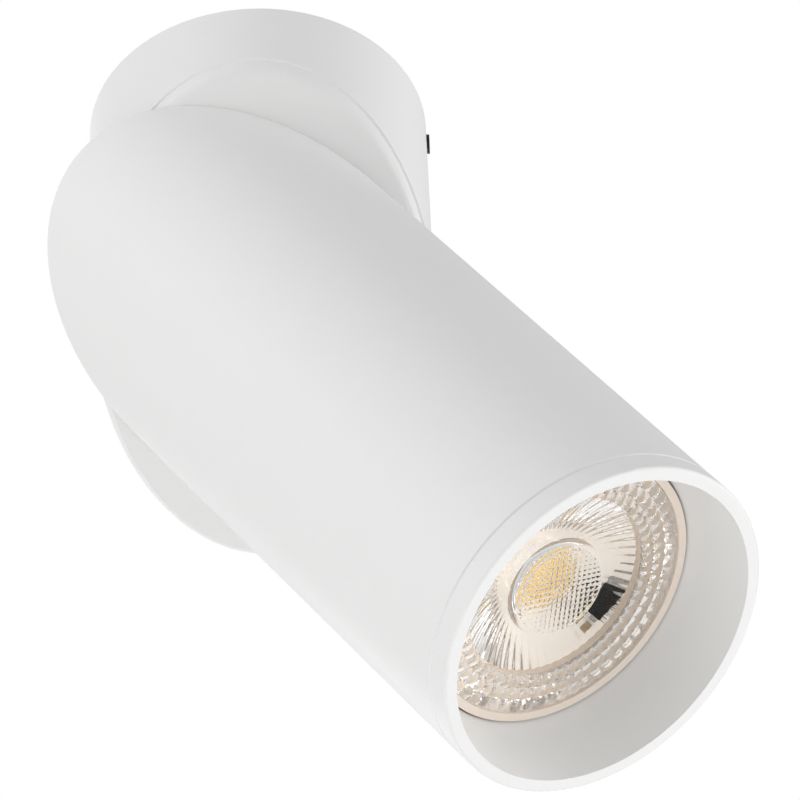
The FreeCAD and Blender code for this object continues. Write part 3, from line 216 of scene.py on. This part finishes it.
# %% Finishes of the CAD nodes
finishes = {
    "white_paint": white_paint,
    "black_steel": finish("black oxide", (0.018, 0.018, 0.02), 0.38, 0.3, 4.0, Metallic=0.6),
    "zinc_steel": finish("bright zinc plate", (0.66, 0.67, 0.69), 0.36, 0.8, 3.0,
                         shade=0.45, polish=0.3, Metallic=1.0),
    "spring_steel": finish("oiled spring steel", (0.2, 0.19, 0.18), 0.28, 0.6, 3.0,
                           shade=0.4, Metallic=1.0),
    "brass": finish("plain brass", (0.72, 0.52, 0.2), 0.28, 0.7, 3.0, shade=0.3, Metallic=1.0),
    "black_rubber": finish("black rubber", (0.02, 0.02, 0.02), 0.7, 0.25, 9.0, shade=0.3),
    "ceramic": finish("unglazed steatite", (0.8, 0.77, 0.69), 0.62, 0.35, 8.0, shade=0.12),
    "white_nylon": finish("moulded nylon", (0.82, 0.81, 0.75), 0.45, 0.5, 4.0),
    "lamp_plastic": finish("warm moulded plastic", (0.9, 0.79, 0.69), 0.4, 0.4, 3.0, shade=0.05),
    "phosphor": finish("yellow phosphor", (1.0, 0.68, 0.22), 0.5, 0.12, 6.0, shade=0.2,
                       Emission_Color=(1.0, 0.6, 0.25, 1.0), Emission_Strength=0.12),
    "white_board": finish("white solder mask", (0.95, 0.91, 0.85), 0.35, 0.4, 2.0, shade=0.05,
                          Emission_Color=(1.0, 0.93, 0.86, 1.0), Emission_Strength=0.24),
    "chip_black": finish("black moulding", (0.003, 0.003, 0.003), 0.6, 0.1, 4.0,
                         shade=0.3, Specular_IOR_Level=0.0),
    "brown_insulation": finish("brown silicone", (0.13, 0.05, 0.022), 0.5, 0.4, 4.0),
    "blue_insulation": finish("blue silicone", (0.03, 0.09, 0.36), 0.5, 0.4, 4.0),
    "earth_insulation": finish("green and yellow silicone", (0.2, 0.45, 0.05), 0.5, 0.4, 4.0),
    "glass_sleeve": finish("woven glass sleeve", (0.8, 0.79, 0.74), 0.7, 0.3, 30.0, shade=0.2),
}


def dress(node_name, material):
    """Give a CAD node one material in place of the plain one that it came with."""
    materials = frame["nodes"][node_name].data.materials
    materials.clear()
    materials.append(material)


for part in record["subparts"]:
    if part["material_slot"] in finishes:
        dress(part["node"], finishes[part["material_slot"]])
print("finishes", len(finishes))

# %% [markdown]
# The lens is one clear moulding, and nearly all that shows of the lamp is light bent by its faces.
# Painting that picture on a flat disc would look right from one side only. So the faces themselves
# are made: a disc of tiny pillows in the middle, a clear trough, three rings of larger ones, and
# under the trough a fluted cone that mirrors the light by total reflection.
#
# Every face is made of rows of points carried round the lens's axis. A row says, for each of 360
# angles, how far out and how deep its point lies, in millimetres from the lens face. Plain faces
# have the same values all round and need only a row at each edge.

# %% Angles and plain rows
ANGLES = 360
angle = np.arange(ANGLES) * 2 * math.pi / ANGLES


def plain_row(radius, depth):
    """Edge of a plain face: the same radius and depth all round."""
    return np.full((1, ANGLES), radius), np.full((1, ANGLES), depth)


print("points in a row", len(angle))

# %% [markdown]
# The raised disc in the middle is covered with square pillows, less than a millimetre wide, which
# blur what lies behind. A bump in the material could stand for them, but real heights also hide
# each other at a slant. Each pillow is nearly flat on top and steep at its edges. They fade out
# just before the rim, and a round shoulder leads from there down to the trough.

# %% Rows of the disc
disc_radius = 8.0
disc_foot = 8.9
pillow_pitch = 0.9
pillow_height = 0.42
pillow_fade = 0.3
pillow_turn = math.radians(45)
trough_depth = 0.2
pillow_steps = 60
shoulder_steps = 8


def pillow_rows(count):
    """Disc: each square cell is a flat-topped pillow. It rises by the pillow's height times
    1 - 8 * (u^4 + v^4), where u and v run from -1/2 to 1/2 across it, and fades out at the rim."""
    radius = np.linspace(0, disc_radius, count + 1)[1:, None]
    x = radius * np.cos(angle - pillow_turn) / pillow_pitch
    y = radius * np.sin(angle - pillow_turn) / pillow_pitch
    u, v = (w - np.round(w) for w in (x, y))
    cap = pillow_height * (1 - 8 * (u ** 4 + v ** 4))
    fade = np.clip((disc_radius - radius) / pillow_fade, 0, 1)
    return np.broadcast_to(radius, cap.shape), pillow_height - disc_rise - cap * fade


def shoulder_rows(count):
    """Side of the disc, from the pillows' foot: a quarter of an ellipse, out by its sine and down
    by one minus its cosine."""
    turn = np.linspace(0, math.pi / 2, count + 1)[1:, None]
    radius = disc_radius + (disc_foot - disc_radius) * np.sin(turn)
    drop = disc_rise - pillow_height + trough_depth
    depth = trough_depth - drop * np.cos(turn)
    return tuple(np.broadcast_to(values, (count, ANGLES)) for values in (radius, depth))


pillows = pillow_rows(pillow_steps)
shoulder = shoulder_rows(shoulder_steps)
print("disc rows", len(pillows[0]), "shoulder rows", len(shoulder[0]))

# %% [markdown]
# Three rings of facets make the outer band. On the real lens each facet is a small lens of its own.
# They are pillows too, but rounder, and each ring is shifted by half a facet against the one
# before, as bricks are laid. Their edges have to lie on points of the rows, so a ring starts and
# ends with a row of its own.

# %% Rows of the facets
trough_radius = 16.6
lens_radius = 23.35
band_depth = -0.1
facet_height = 0.9
facet_inset = 0.05
facet_rings = 3
facet_count = 60
facet_steps = 6


def zigzag(turns):
    """Straight up and down between 0 and 1: 1 at whole numbers, 0 halfway between them."""
    return np.abs(2 * (turns - np.floor(turns)) - 1)


def facet_rows(steps):
    """Band: each cell rises by its height times 1 - (u^2 + v^2) / 2, where u round the ring and v
    across it are 0 in the middle of the cell and 1 at its edges, which makes a square pillow."""
    ring, step = (grid.reshape(-1, 1) for grid in np.mgrid[:facet_rings, :steps + 1])
    v = 2 * step / steps - 1
    u = zigzag(angle * facet_count / (2 * math.pi) + ring / 2)
    rise = facet_height * (1 - (u * u + v * v) / 2)
    ring_width = (lens_radius - trough_radius) / facet_rings
    middle = trough_radius + (ring + 0.5) * ring_width
    radius = middle + v * (ring_width / 2 - facet_inset)
    return np.broadcast_to(radius, rise.shape), band_depth - rise


facets = facet_rows(facet_steps)
print("facets", facet_rings * facet_count, "in", len(facets[0]), "rows")

# %% [markdown]
# Under the trough the moulding narrows to a cone. Its wall meets the light so flatly that it
# mirrors it without any silvering. Such walls are near to a parabola, so this one is bowed by a
# power of its radius. Soft flutes all round split the mirror into the fan of stripes that shows
# through the trough.

# %% Rows of the cone
seat_depth = 2.6
cone_depth = 9.6
cone_radius = 7.0
cone_bow = 1.6
flute_count = 60
flute_depth = 0.18
cone_steps = 16


def cone_rows(count):
    """Cone: its height grows as the share of its radius to the power of the bow, and its radius is
    less by soft waves, flute depth times (1 - cos(flutes * angle)) / 2 at the large end."""
    share = np.linspace(1, 0, count + 1)[:, None]
    wave = flute_depth / trough_radius * (1 - np.cos(angle * flute_count)) / 2
    radius = (cone_radius + (trough_radius - cone_radius) * share) * (1 - wave)
    depth = cone_depth - (cone_depth - seat_depth) * share ** cone_bow
    return radius, np.broadcast_to(depth, radius.shape)


cone = cone_rows(cone_steps)
print("cone rows", len(cone[0]), "with", flute_count, "flutes")

# %% [markdown]
# Put in order, the rows lead from the middle of the front over the rim and along the cone to the
# well, a hollow in its small end that takes the LED.

# %% All rows in order
well_radius = 5.7
well_depth = 4.0
well_crown = 0.6
lens_rows = [
    pillows,
    shoulder,
    plain_row(trough_radius, trough_depth),
    plain_row(trough_radius, band_depth),
    facets,
    plain_row(lens_radius, band_depth),
    plain_row(lens_radius, seat_depth),
    cone,
    plain_row(well_radius, cone_depth),
    plain_row(well_radius, cone_depth - well_depth),
]
row_radius = np.concatenate([radius for radius, depth in lens_rows])
row_depth = np.concatenate([depth for radius, depth in lens_rows])
print("lens rows", row_radius.shape)
print("lens depth from", row_depth.min().round(3), "to", row_depth.max().round(3), "mm")

# %% [markdown]
# Points become a mesh by joining each one to its neighbours along and across the rows.
# Four-cornered faces would fold at a pillow's edges, so each is split along whichever of its two
# diagonals runs level with the shape. Two single points close the middle of the front and of the
# well.

# %% The lens as one closed mesh
def grid_triangles(rows, values):
    """Triangles of a closed-round grid, each square split on the diagonal that changes less."""
    i = np.arange(rows - 1)[:, None] * ANGLES
    k = np.arange(ANGLES)[None, :]
    a, b = i + k, i + (k + 1) % ANGLES
    c, d = b + ANGLES, a + ANGLES
    flat = values.reshape(-1)
    first = np.abs(flat[a] - flat[c]) <= np.abs(flat[b] - flat[d])
    one = np.where(first[..., None], np.stack([a, d, c], -1), np.stack([a, d, b], -1))
    two = np.where(first[..., None], np.stack([a, c, b], -1), np.stack([b, d, c], -1))
    return np.concatenate([one.reshape(-1, 3), two.reshape(-1, 3)])


def fan(middle, ring):
    """Triangles from a middle point to each pair of neighbours on a closed ring of points."""
    return np.stack([np.full(len(ring), middle), ring, np.roll(ring, -1)], -1)


rows = len(row_radius)
ring_points = lean(row_radius * np.cos(angle), row_radius * np.sin(angle), row_depth)
front_middle = lean(0, 0, -disc_rise)
well_middle = lean(0, 0, cone_depth - well_depth - well_crown)
lens_points = np.concatenate([ring_points.reshape(-1, 3), [front_middle, well_middle]])
first_row = np.arange(ANGLES)
last_row = (rows - 1) * ANGLES + first_row
lens_faces = np.concatenate([
    grid_triangles(rows, row_depth),
    fan(rows * ANGLES, first_row),
    fan(rows * ANGLES + 1, last_row[::-1]),
])
print("lens mesh", lens_points.shape, lens_faces.shape)

# %% [markdown]
# Clear acrylic bends light less than most glass. Two things in its material are not physics but
# help the renderer. Rays on their way to a lamp pass straight through, because a bent one would
# miss the lamp and leave the board black. And the shine on its faces is turned down, because the
# big white lamps would veil the fine pattern below. A moulding is never quite even, so the grain
# group makes some spots of it a little less polished than others.

# %% Clear acrylic
shine_kept = 0.3
flow_mark_mm = 1.5
clear = bpy.data.materials.new("clear moulded acrylic")
clear.use_nodes = True
clear_tree = clear.node_tree
clear_shader = clear_tree.nodes["Principled BSDF"]
clear_shader.inputs["Base Color"].default_value = (0.998, 0.995, 0.988, 1.0)
clear_shader.inputs["Specular Tint"].default_value = (shine_kept, shine_kept, shine_kept, 1.0)
clear_shader.inputs["IOR"].default_value = 1.49
clear_shader.inputs["Transmission Weight"].default_value = 1.0
flow_marks = add_node(clear_tree, "ShaderNodeGroup", node_tree=grain_group)
flow_marks.inputs["Scale"].default_value = 1 / (flow_mark_mm * MM)
flow_marks.inputs["Roughness"].default_value = 0.03
flow_marks.inputs["Polish"].default_value = 0.04
clear_tree.links.new(flow_marks.outputs["Roughness"], clear_shader.inputs["Roughness"])


def mix_by_ray(tree, kind_of_ray, usual, special, output):
    """Send the special shader to the output for one kind of ray, and the usual one for the rest."""
    light_path = add_node(tree, "ShaderNodeLightPath")
    mix = add_node(tree, "ShaderNodeMixShader")
    tree.links.new(light_path.outputs[kind_of_ray], mix.inputs["Fac"])
    tree.links.new(usual.outputs[0], mix.inputs[1])
    tree.links.new(special.outputs[0], mix.inputs[2])
    tree.links.new(mix.outputs[0], tree.nodes[output].inputs["Surface"])


straight_through = add_node(clear_tree, "ShaderNodeBsdfTransparent")
mix_by_ray(clear_tree, "Is Shadow Ray", clear_shader, straight_through, "Material Output")
dress("lamp_lens", clear)
print("clear acrylic with", len(clear_tree.nodes), "nodes")

# %% [markdown]
# A piece is a mesh object whose points are already in their place. It rides on a body of the CAD model, so that it
# turns with the lamp. Smooth shading rounds its faces, and edges that turn by more than 25 degrees stay sharp. The
# lens stands for the plainer solid of the CAD model.

# %% The lens as a piece
sharp_edge = math.radians(25)


def piece(name, points, faces, body, slot, material):
    """A mesh object at the origin that rides on a body and takes the given finish. The slot is not used."""
    mesh = bpy.data.meshes.new(name)
    mesh.from_pydata(points, [], faces)
    mesh.polygons.foreach_set("use_smooth", np.ones(len(mesh.polygons), bool))
    mesh.set_sharp_from_angle(angle=sharp_edge)
    mesh.materials.append(material)
    made = bpy.data.objects.new(name, mesh)
    bpy.context.scene.collection.objects.link(made)
    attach(made, body)
    print(name, len(mesh.vertices), "points", len(mesh.polygons), "faces")
    return made


lens = piece("moulded_lens", lens_points, lens_faces.tolist(), "lamp", "clear_lens", clear)
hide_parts("lamp_lens")

# %% [markdown]
# Under the clear ring of the lens lies the driver's circuit. Plain boxes would do from afar, but
# the lens shows its parts large. So each body is a rounded outline stacked upwards and drawn in a
# little above and below, as a mould needs. The driver's package is a black one, with a parting line
# halfway up, where its leads come out.

# %% Stacked outlines
board_depth = 11.0
corner_steps = 3


def rounded_outline(size_x, size_y, corner):
    """Rectangle with round corners: the four corner points plus a quarter circle round each."""
    turn = np.radians(np.arange(4)[:, None] * 90 + np.linspace(0, 90, corner_steps + 1))
    side = np.array([(1, 1), (-1, 1), (-1, -1), (1, -1)])[:, None]
    middle = side * (np.array([size_x, size_y]) / 2 - corner)
    return (middle + corner * np.stack([np.cos(turn), np.sin(turn)], -1)).reshape(-1, 2)


def stack(x, y, size_x, size_y, corner, insets, heights):
    """Rings of points: the outline, drawn in by each inset, at each height above the board."""
    rings = []
    for inset, height in zip(insets, heights):
        outline = rounded_outline(size_x - 2 * inset, size_y - 2 * inset, corner)
        depth = np.full(len(outline), board_depth - height)
        rings.append(lean(x + outline[:, 0], y + outline[:, 1], depth))
    return np.array(rings)


chip_x, chip_y = 2.9, -15.95
chip_long, chip_wide = 5.0, 4.0
chip_corner = 0.12
chip_insets = [0.14, 0.0, 0.0, 0.14, 0.24]
chip_heights = [0.1, 0.72, 0.82, 1.5, 1.6]
package = stack(chip_x, chip_y, chip_long, chip_wide, chip_corner, chip_insets, chip_heights)
print("package of", len(package), "outlines with", package.shape[1], "points each")

# %% [markdown]
# Each outline is a ring of points. Four-cornered faces join a ring to the next, and a fan from its
# middle point closes each end. The bent leads will be rings of points as well, so one function
# closes them all. The package stands for the three plain chips of the CAD model.

# %% The driver's package
def closed_rings(many):
    """Points and faces of several stacks of rings, each end closed by a fan to its middle point."""
    points, faces, start = [], [], 0
    for rings in many:
        rows, count = rings.shape[:2]
        here = np.arange(count)
        after = np.roll(here, -1)
        row = np.arange(rows - 1)[:, None] * count
        sides = np.stack([row + here, row + after, row + count + after, row + count + here], -1)
        low_fan = fan(rows * count, here[::-1])
        high_fan = fan(rows * count + 1, (rows - 1) * count + here)
        middles = [rings[0].mean(axis=0), rings[-1].mean(axis=0)]
        points += [rings.reshape(-1, 3), middles]
        faces += (sides.reshape(-1, 4) + start).tolist()
        faces += (np.concatenate([low_fan, high_fan]) + start).tolist()
        start += rows * count + 2
    return np.concatenate(points), faces


chip = piece("driver_package", *closed_rings([package]), "lamp", "chip_black",
             finishes["chip_black"])
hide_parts("lamp_chips")

# %% [markdown]
# Four leads leave the package on each side, step down to the board and end flat on it. Each is a
# flat strip carried along a bent path, with four corners square to the path at each of its points.
# A tin heat tab lies at one end of the package.

# %% Its leads and heat tab
def strip(x, y, turn, run, height, wide, thick):
    """Rings of four corners: half the width to each side of a path of run and height, half the
    thickness to each side along the path's normal, turned about the board's normal."""
    way = np.stack([np.gradient(run), np.gradient(height)], 1)
    way /= np.linalg.norm(way, axis=1)[:, None]
    across = np.array([-1, 1, 1, -1]) * wide / 2
    above = np.array([-1, -1, 1, 1]) * thick / 2
    out = run[:, None] - way[:, 1:] * above
    level = height[:, None] + way[:, :1] * above
    side = np.broadcast_to(across, out.shape)
    c, s = math.cos(turn), math.sin(turn)
    return lean(x + c * side + s * out, y + s * side - c * out, board_depth - level)


lead_run = np.array([-0.3, 0.2, 0.35, 0.5, 0.65, 1.3])
lead_height = np.array([0.77, 0.77, 0.66, 0.2, 0.09, 0.09])
lead_wide, lead_thick = 0.46, 0.18
lead_count = 4
lead_pitch = 1.1
lead_places = chip_x + lead_pitch * (np.arange(lead_count) - (lead_count - 1) / 2)
tab_away = 3.0
tab_long, tab_wide, tab_corner = 1.3, 3.8, 0.15
tab_insets, tab_heights = [0.0, 0.0, 0.12], [0.0, 0.75, 0.87]
tin_parts = [stack(chip_x + tab_away, chip_y, tab_long, tab_wide, tab_corner,
                   tab_insets, tab_heights)]
for turn, edge in ((0.0, chip_y - chip_wide / 2), (math.pi, chip_y + chip_wide / 2)):
    tin_parts += [strip(x, edge, turn, lead_run, lead_height, lead_wide, lead_thick)
                  for x in lead_places]
print("tab and leads", len(tin_parts))

# %% [markdown]
# At the other end of the package stand two tan capacitors with tinned ends. All that is tin makes
# one piece, and the two capacitor bodies another.

# %% The capacitors
capacitor_x = -1.0
capacitor_aside = 1.2
capacitor_long, capacitor_wide, capacitor_corner = 1.5, 1.2, 0.06
capacitor_insets, capacitor_heights = [0.06, 0.0, 0.0, 0.06], [0.04, 0.1, 0.74, 0.8]
end_away = 0.8
end_long, end_wide, end_corner = 0.42, 1.28, 0.1
end_insets, end_heights = [0.08, 0.0, 0.0, 0.1], [0.0, 0.08, 0.76, 0.84]
capacitor_parts = []
for y in (chip_y - capacitor_aside, chip_y + capacitor_aside):
    capacitor_parts.append(stack(capacitor_x, y, capacitor_long, capacitor_wide, capacitor_corner,
                                 capacitor_insets, capacitor_heights))
    tin_parts += [stack(x, y, end_long, end_wide, end_corner, end_insets, end_heights)
                  for x in (capacitor_x - end_away, capacitor_x + end_away)]
tin = finish("dull tin plate", (0.44, 0.43, 0.42), 0.25, 0.2, 3.0, shade=0.25, Metallic=1.0)
tan = finish("tan capacitor", (0.5, 0.36, 0.2), 0.4, 0.15, 3.0, shade=0.2)
piece("tin_leads", *closed_rings(tin_parts), "lamp", "zinc_steel", tin)
piece("capacitor_bodies", *closed_rings(capacitor_parts), "lamp", "ceramic", tan)

# %% [markdown]
# The photograph was taken from below, looking up at the slanted cut, and was cut out on white. The
# camera's angles and distance were worked out from the outlines of the base, the tube and the ring.
# A long lens and a far camera keep the two cylinders nearly parallel-sided.

# %% Camera
scene = bpy.context.scene
pivot = np.array(joints["head_swivel"]["pos_m"], float)
camera_azimuth = math.radians(-0.467)
camera_elevation = math.radians(-45.067)
camera_roll = math.radians(-2.56)
camera_distance = 0.96445
pivot_left = 0.023889
pivot_above = 0.014746
focal_pixels = 5582.3
picture_pixels = 800


def placed(axes, where):
    """Matrix of an object with these three axes, as columns, at this place."""
    columns = np.stack([*axes, where], 1)
    return Matrix([*columns.tolist(), [0, 0, 0, 1]])


back = np.array([math.sin(camera_azimuth) * math.cos(camera_elevation),
                 -math.cos(camera_azimuth) * math.cos(camera_elevation),
                 math.sin(camera_elevation)])
level = np.array([math.cos(camera_azimuth), math.sin(camera_azimuth), 0.0])
upright = np.cross(back, level)
right = math.cos(camera_roll) * level + math.sin(camera_roll) * upright
up = np.cross(back, right)
eye = pivot + right * pivot_left - up * pivot_above + back * camera_distance
camera_data = bpy.data.cameras.new("camera")
camera_data.sensor_width = 36.0
camera_data.lens = focal_pixels * camera_data.sensor_width / picture_pixels
camera_data.clip_end = 20.0
camera = bpy.data.objects.new("camera", camera_data)
camera.matrix_world = placed((right, up, back), eye)
scene.collection.objects.link(camera)
scene.camera = camera
print("camera at", eye.round(4), "lens", round(camera_data.lens, 1), "mm")

# %% [markdown]
# White paint on white needs very even light. In a white studio half of it comes from the walls, so
# the room itself glows. The camera alone sees it brighter, as the pure white of a cut-out. Light in
# the lens is thrown to and fro many times before it leaves, so its paths may be longer than usual.
# With fewer bounces the facets fill with dark specks.

# %% White room
scene.view_settings.view_transform = "Standard"
longest_path = 32
scene.cycles.max_bounces = longest_path
scene.cycles.transmission_bounces = longest_path
scene.cycles.glossy_bounces = 24
room_glow = 0.4
white = (1.0, 1.0, 1.0, 1.0)
world = bpy.data.worlds.new("white room")
scene.world = world
world.use_nodes = True
room = world.node_tree.nodes["Background"]
room.inputs["Color"].default_value = white
room.inputs["Strength"].default_value = room_glow
cut_out = add_node(world.node_tree, "ShaderNodeBackground", Color=white, Strength=1.0)
mix_by_ray(world.node_tree, "Is Camera Ray", room, cut_out, "World Output")
print("room glow", room_glow)

# %% [markdown]
# The rest comes from large soft lamps all round. Their strengths follow how bright each side of the
# light is in the photograph: strong at both flanks, weak towards the camera and the ceiling, which
# is what draws the form.

# %% Soft lamps
lamp_distance = 1.2
lamp_width = 0.8


def soft_lamp(name, azimuth, elevation, watts):
    """Square area lamp that faces the pivot. Its direction goes round from the right by the
    azimuth, towards the back, and up by the elevation, both in degrees."""
    a, e = math.radians(azimuth), math.radians(elevation)
    direction = np.array([math.cos(e) * math.cos(a), math.cos(e) * math.sin(a), math.sin(e)])
    side = np.array([-math.sin(a), math.cos(a), 0.0])
    data = bpy.data.lights.new(name, "AREA")
    data.size = lamp_width
    data.energy = watts
    lamp = bpy.data.objects.new(name, data)
    lamp.matrix_world = placed((side, np.cross(direction, side), direction),
                               pivot + direction * lamp_distance)
    scene.collection.objects.link(lamp)
    print(name, watts, "W")


soft_lamp("right_lamp", 10, 0, 5.0)
soft_lamp("right_front_lamp", -25, -15, 3.5)
soft_lamp("right_high_lamp", 20, 35, 0.5)
soft_lamp("left_lamp", -160, -10, 2.75)
soft_lamp("left_front_lamp", -150, 25, 2.75)
soft_lamp("left_high_lamp", -170, 50, 0.25)
soft_lamp("front_high_lamp", -115, 40, 2.0)
soft_lamp("low_lamp", -175, -55, 1.5)
soft_lamp("low_back_lamp", 100, -70, 1.75)
soft_lamp("back_lamp", 105, 5, 3.0)
soft_lamp("ceiling_lamp", 115, 55, 1.5)

# %% [markdown]
# The light hangs from a ceiling, so the floor is far below and out of the picture. The lens still
# sees it. A dark floor would turn half of the flutes black, so this one is pale and glows a little,
# like a light table.

# %% Pale floor
floor_drop = 1.6
floor_half = 4.0
floor_glow = 0.3
floor_corners = np.array([(-1, -1), (1, -1), (1, 1), (-1, 1)]) * floor_half
floor_points = np.column_stack([floor_corners, np.full(4, -floor_drop)])
floor_mesh = bpy.data.meshes.new("pale_floor")
floor_mesh.from_pydata(floor_points, [], [(0, 1, 2, 3)])
floor_mesh.materials.append(finish("pale floor", (0.88, 0.88, 0.87), 0.8, 4.0, 20.0, shade=0.02,
                                   Emission_Color=white, Emission_Strength=floor_glow))
floor = bpy.data.objects.new("pale_floor", floor_mesh)
scene.collection.objects.link(floor)
print("floor", floor_drop, "m below the ceiling")
